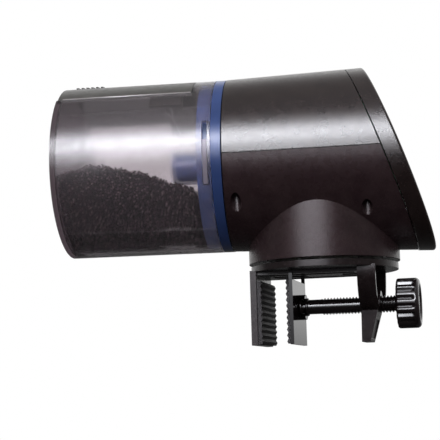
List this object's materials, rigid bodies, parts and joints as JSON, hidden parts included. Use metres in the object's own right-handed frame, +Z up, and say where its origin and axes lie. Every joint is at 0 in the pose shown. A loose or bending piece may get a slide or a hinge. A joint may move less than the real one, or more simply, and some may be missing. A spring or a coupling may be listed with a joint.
{
  "type": "automatic pet feeder",
  "caption": "Rim-clamp automatic feeder: clear turning food drum with sliding hatch and blue lid ring, black motor housing with slanted panel on a swivel foot.",
  "frame": {"origin": "middle of the clamp's rim seat, under the swivel axis", "axes": "+X along the drum axis towards the control panel, +Z up, -Y the front"},
  "size_m": [0.1474, 0.0742, 0.1101],
  "materials": {
    "clear_drum": "smoke-tinted clear plastic",
    "hatch_black": "satin olive-black moulding",
    "blue_plastic": "glossy blue moulding",
    "housing_black": "fine-grained black-brown moulding",
    "clamp_black": "smooth black moulding",
    "pad_rubber": "ribbed rubber",
    "lens_clear": "clear window",
    "lcd_grey": "grey-green display",
    "button_grey": "matt silicone",
    "board_green": "solder mask",
    "steel": "plated steel",
    "brass_bush": "turned brass",
    "gear_white": "natural acetal",
    "cell_sleeve": "printed-free battery sleeve",
    "food": "dry brown granules"
  },
  "bodies": {
    "clamp": {"clamp_frame": "clamp_black", "fixed_jaw_pad": "pad_rubber", "swivel_washer": "gear_white", "swivel_retainer": "steel", "swivel_screw": "steel"},
    "clamp_plate": {"pressure_plate": "clamp_black", "pressure_pad": "pad_rubber"},
    "thumbscrew": {"clamp_screw": "clamp_black", "clamp_knob": "clamp_black"},
    "housing": {"lower_housing": "housing_black", "upper_housing": "housing_black", "housing_screws": "steel", "bezel": "housing_black", "lcd_lens": "lens_clear", "lcd_module": "lcd_grey", "circuit_board": "board_green", "board_screws": "steel", "tact_switches": "housing_black", "battery_tray": "housing_black", "batteries": "cell_sleeve", "battery_contacts": "steel", "battery_springs": "steel", "gearbox_plate": "gear_white", "motor": "steel", "gear_pin": "steel", "hub_bush": "brass_bush", "revolution_switch": "housing_black"},
    "door": {"battery_door": "housing_black"},
    "hub": {"output_hub": "gear_white", "output_gear": "gear_white"},
    "compound": {"compound_gear": "gear_white"},
    "pinion": {"motor_pinion": "gear_white"},
    "contents": {"food_pellets": "food"},
    "lid": {"drum_lid": "blue_plastic"},
    "drum": {"drum_shell": "clear_drum", "drum_end_cap": "clear_drum", "port_frame": "hatch_black"},
    "hatch_body": {"hatch": "hatch_black"},
    "key_clock": {"button_clock": "button_grey"},
    "key_interval": {"button_interval": "button_grey"},
    "key_portion": {"button_portion": "button_grey"},
    "key_feed": {"button_feed": "button_grey"}
  },
  "joints": [
    {"name": "clamp_travel", "type": "slide", "parent": "clamp", "child": "clamp_plate", "axis": [0.9945, -0.1045, 0], "range_m": [-0.006, 0.01875]},
    {"name": "screw_turn", "type": "hinge", "parent": "clamp_plate", "child": "thumbscrew", "pos_m": [0, 0, -0.0125], "axis": [0.9945, -0.1045, 0], "range_deg": [-1728, 5400]},
    {"name": "swivel", "type": "hinge", "parent": "clamp", "child": "housing", "pos_m": [0, 0, 0.00483], "axis": [0, 0, 1], "continuous": true},
    {"name": "battery_door_lift", "type": "slide", "parent": "housing", "child": "door", "axis": [0, 0.766, 0.6428], "range_m": [0, 0.012]},
    {"name": "hub_spin", "type": "hinge", "parent": "housing", "child": "hub", "pos_m": [-0.031, 0, 0.046], "axis": [1, 0, 0], "continuous": true},
    {"name": "compound_spin", "type": "hinge", "parent": "housing", "child": "compound", "pos_m": [-0.028, -0.00513, 0.0319], "axis": [1, 0, 0], "continuous": true},
    {"name": "motor_spin", "type": "hinge", "parent": "housing", "child": "pinion", "pos_m": [-0.027, 0.00987, 0.0319], "axis": [1, 0, 0], "continuous": true},
    {"name": "drum_pull", "type": "slide", "parent": "housing", "child": "contents", "axis": [-1, 0, 0], "range_m": [0, 0.02]},
    {"name": "drum_spin", "type": "hinge", "parent": "contents", "child": "lid", "pos_m": [-0.045, 0, 0.046], "axis": [1, 0, 0], "continuous": true},
    {"name": "drum_twist", "type": "hinge", "parent": "lid", "child": "drum", "pos_m": [-0.045, 0, 0.046], "axis": [1, 0, 0], "range_deg": [0, 12]},
    {"name": "hatch_slide", "type": "slide", "parent": "drum", "child": "hatch_body", "axis": [-1, 0, 0], "range_m": [0, 0.015]},
    {"name": "press_clock", "type": "slide", "parent": "housing", "child": "key_clock", "axis": [-0.9409, 0, -0.3387], "range_m": [0, 0.0005], "stiffness_N_per_m": 400},
    {"name": "press_interval", "type": "slide", "parent": "housing", "child": "key_interval", "axis": [-0.9409, 0, -0.3387], "range_m": [0, 0.0005], "stiffness_N_per_m": 400},
    {"name": "press_portion", "type": "slide", "parent": "housing", "child": "key_portion", "axis": [-0.9409, 0, -0.3387], "range_m": [0, 0.0005], "stiffness_N_per_m": 400},
    {"name": "press_feed", "type": "slide", "parent": "housing", "child": "key_feed", "axis": [-0.9409, 0, -0.3387], "range_m": [0, 0.0005], "stiffness_N_per_m": 400}
  ],
  "couplings": [
    {"joint": "clamp_travel", "follows": "screw_turn", "m_per_rad": 0.00019894},
    {"joint": "hub_spin", "follows": "drum_spin", "ratio": 1},
    {"joint": "compound_spin", "follows": "drum_spin", "ratio": -4},
    {"joint": "motor_spin", "follows": "drum_spin", "ratio": 16}
  ]
}
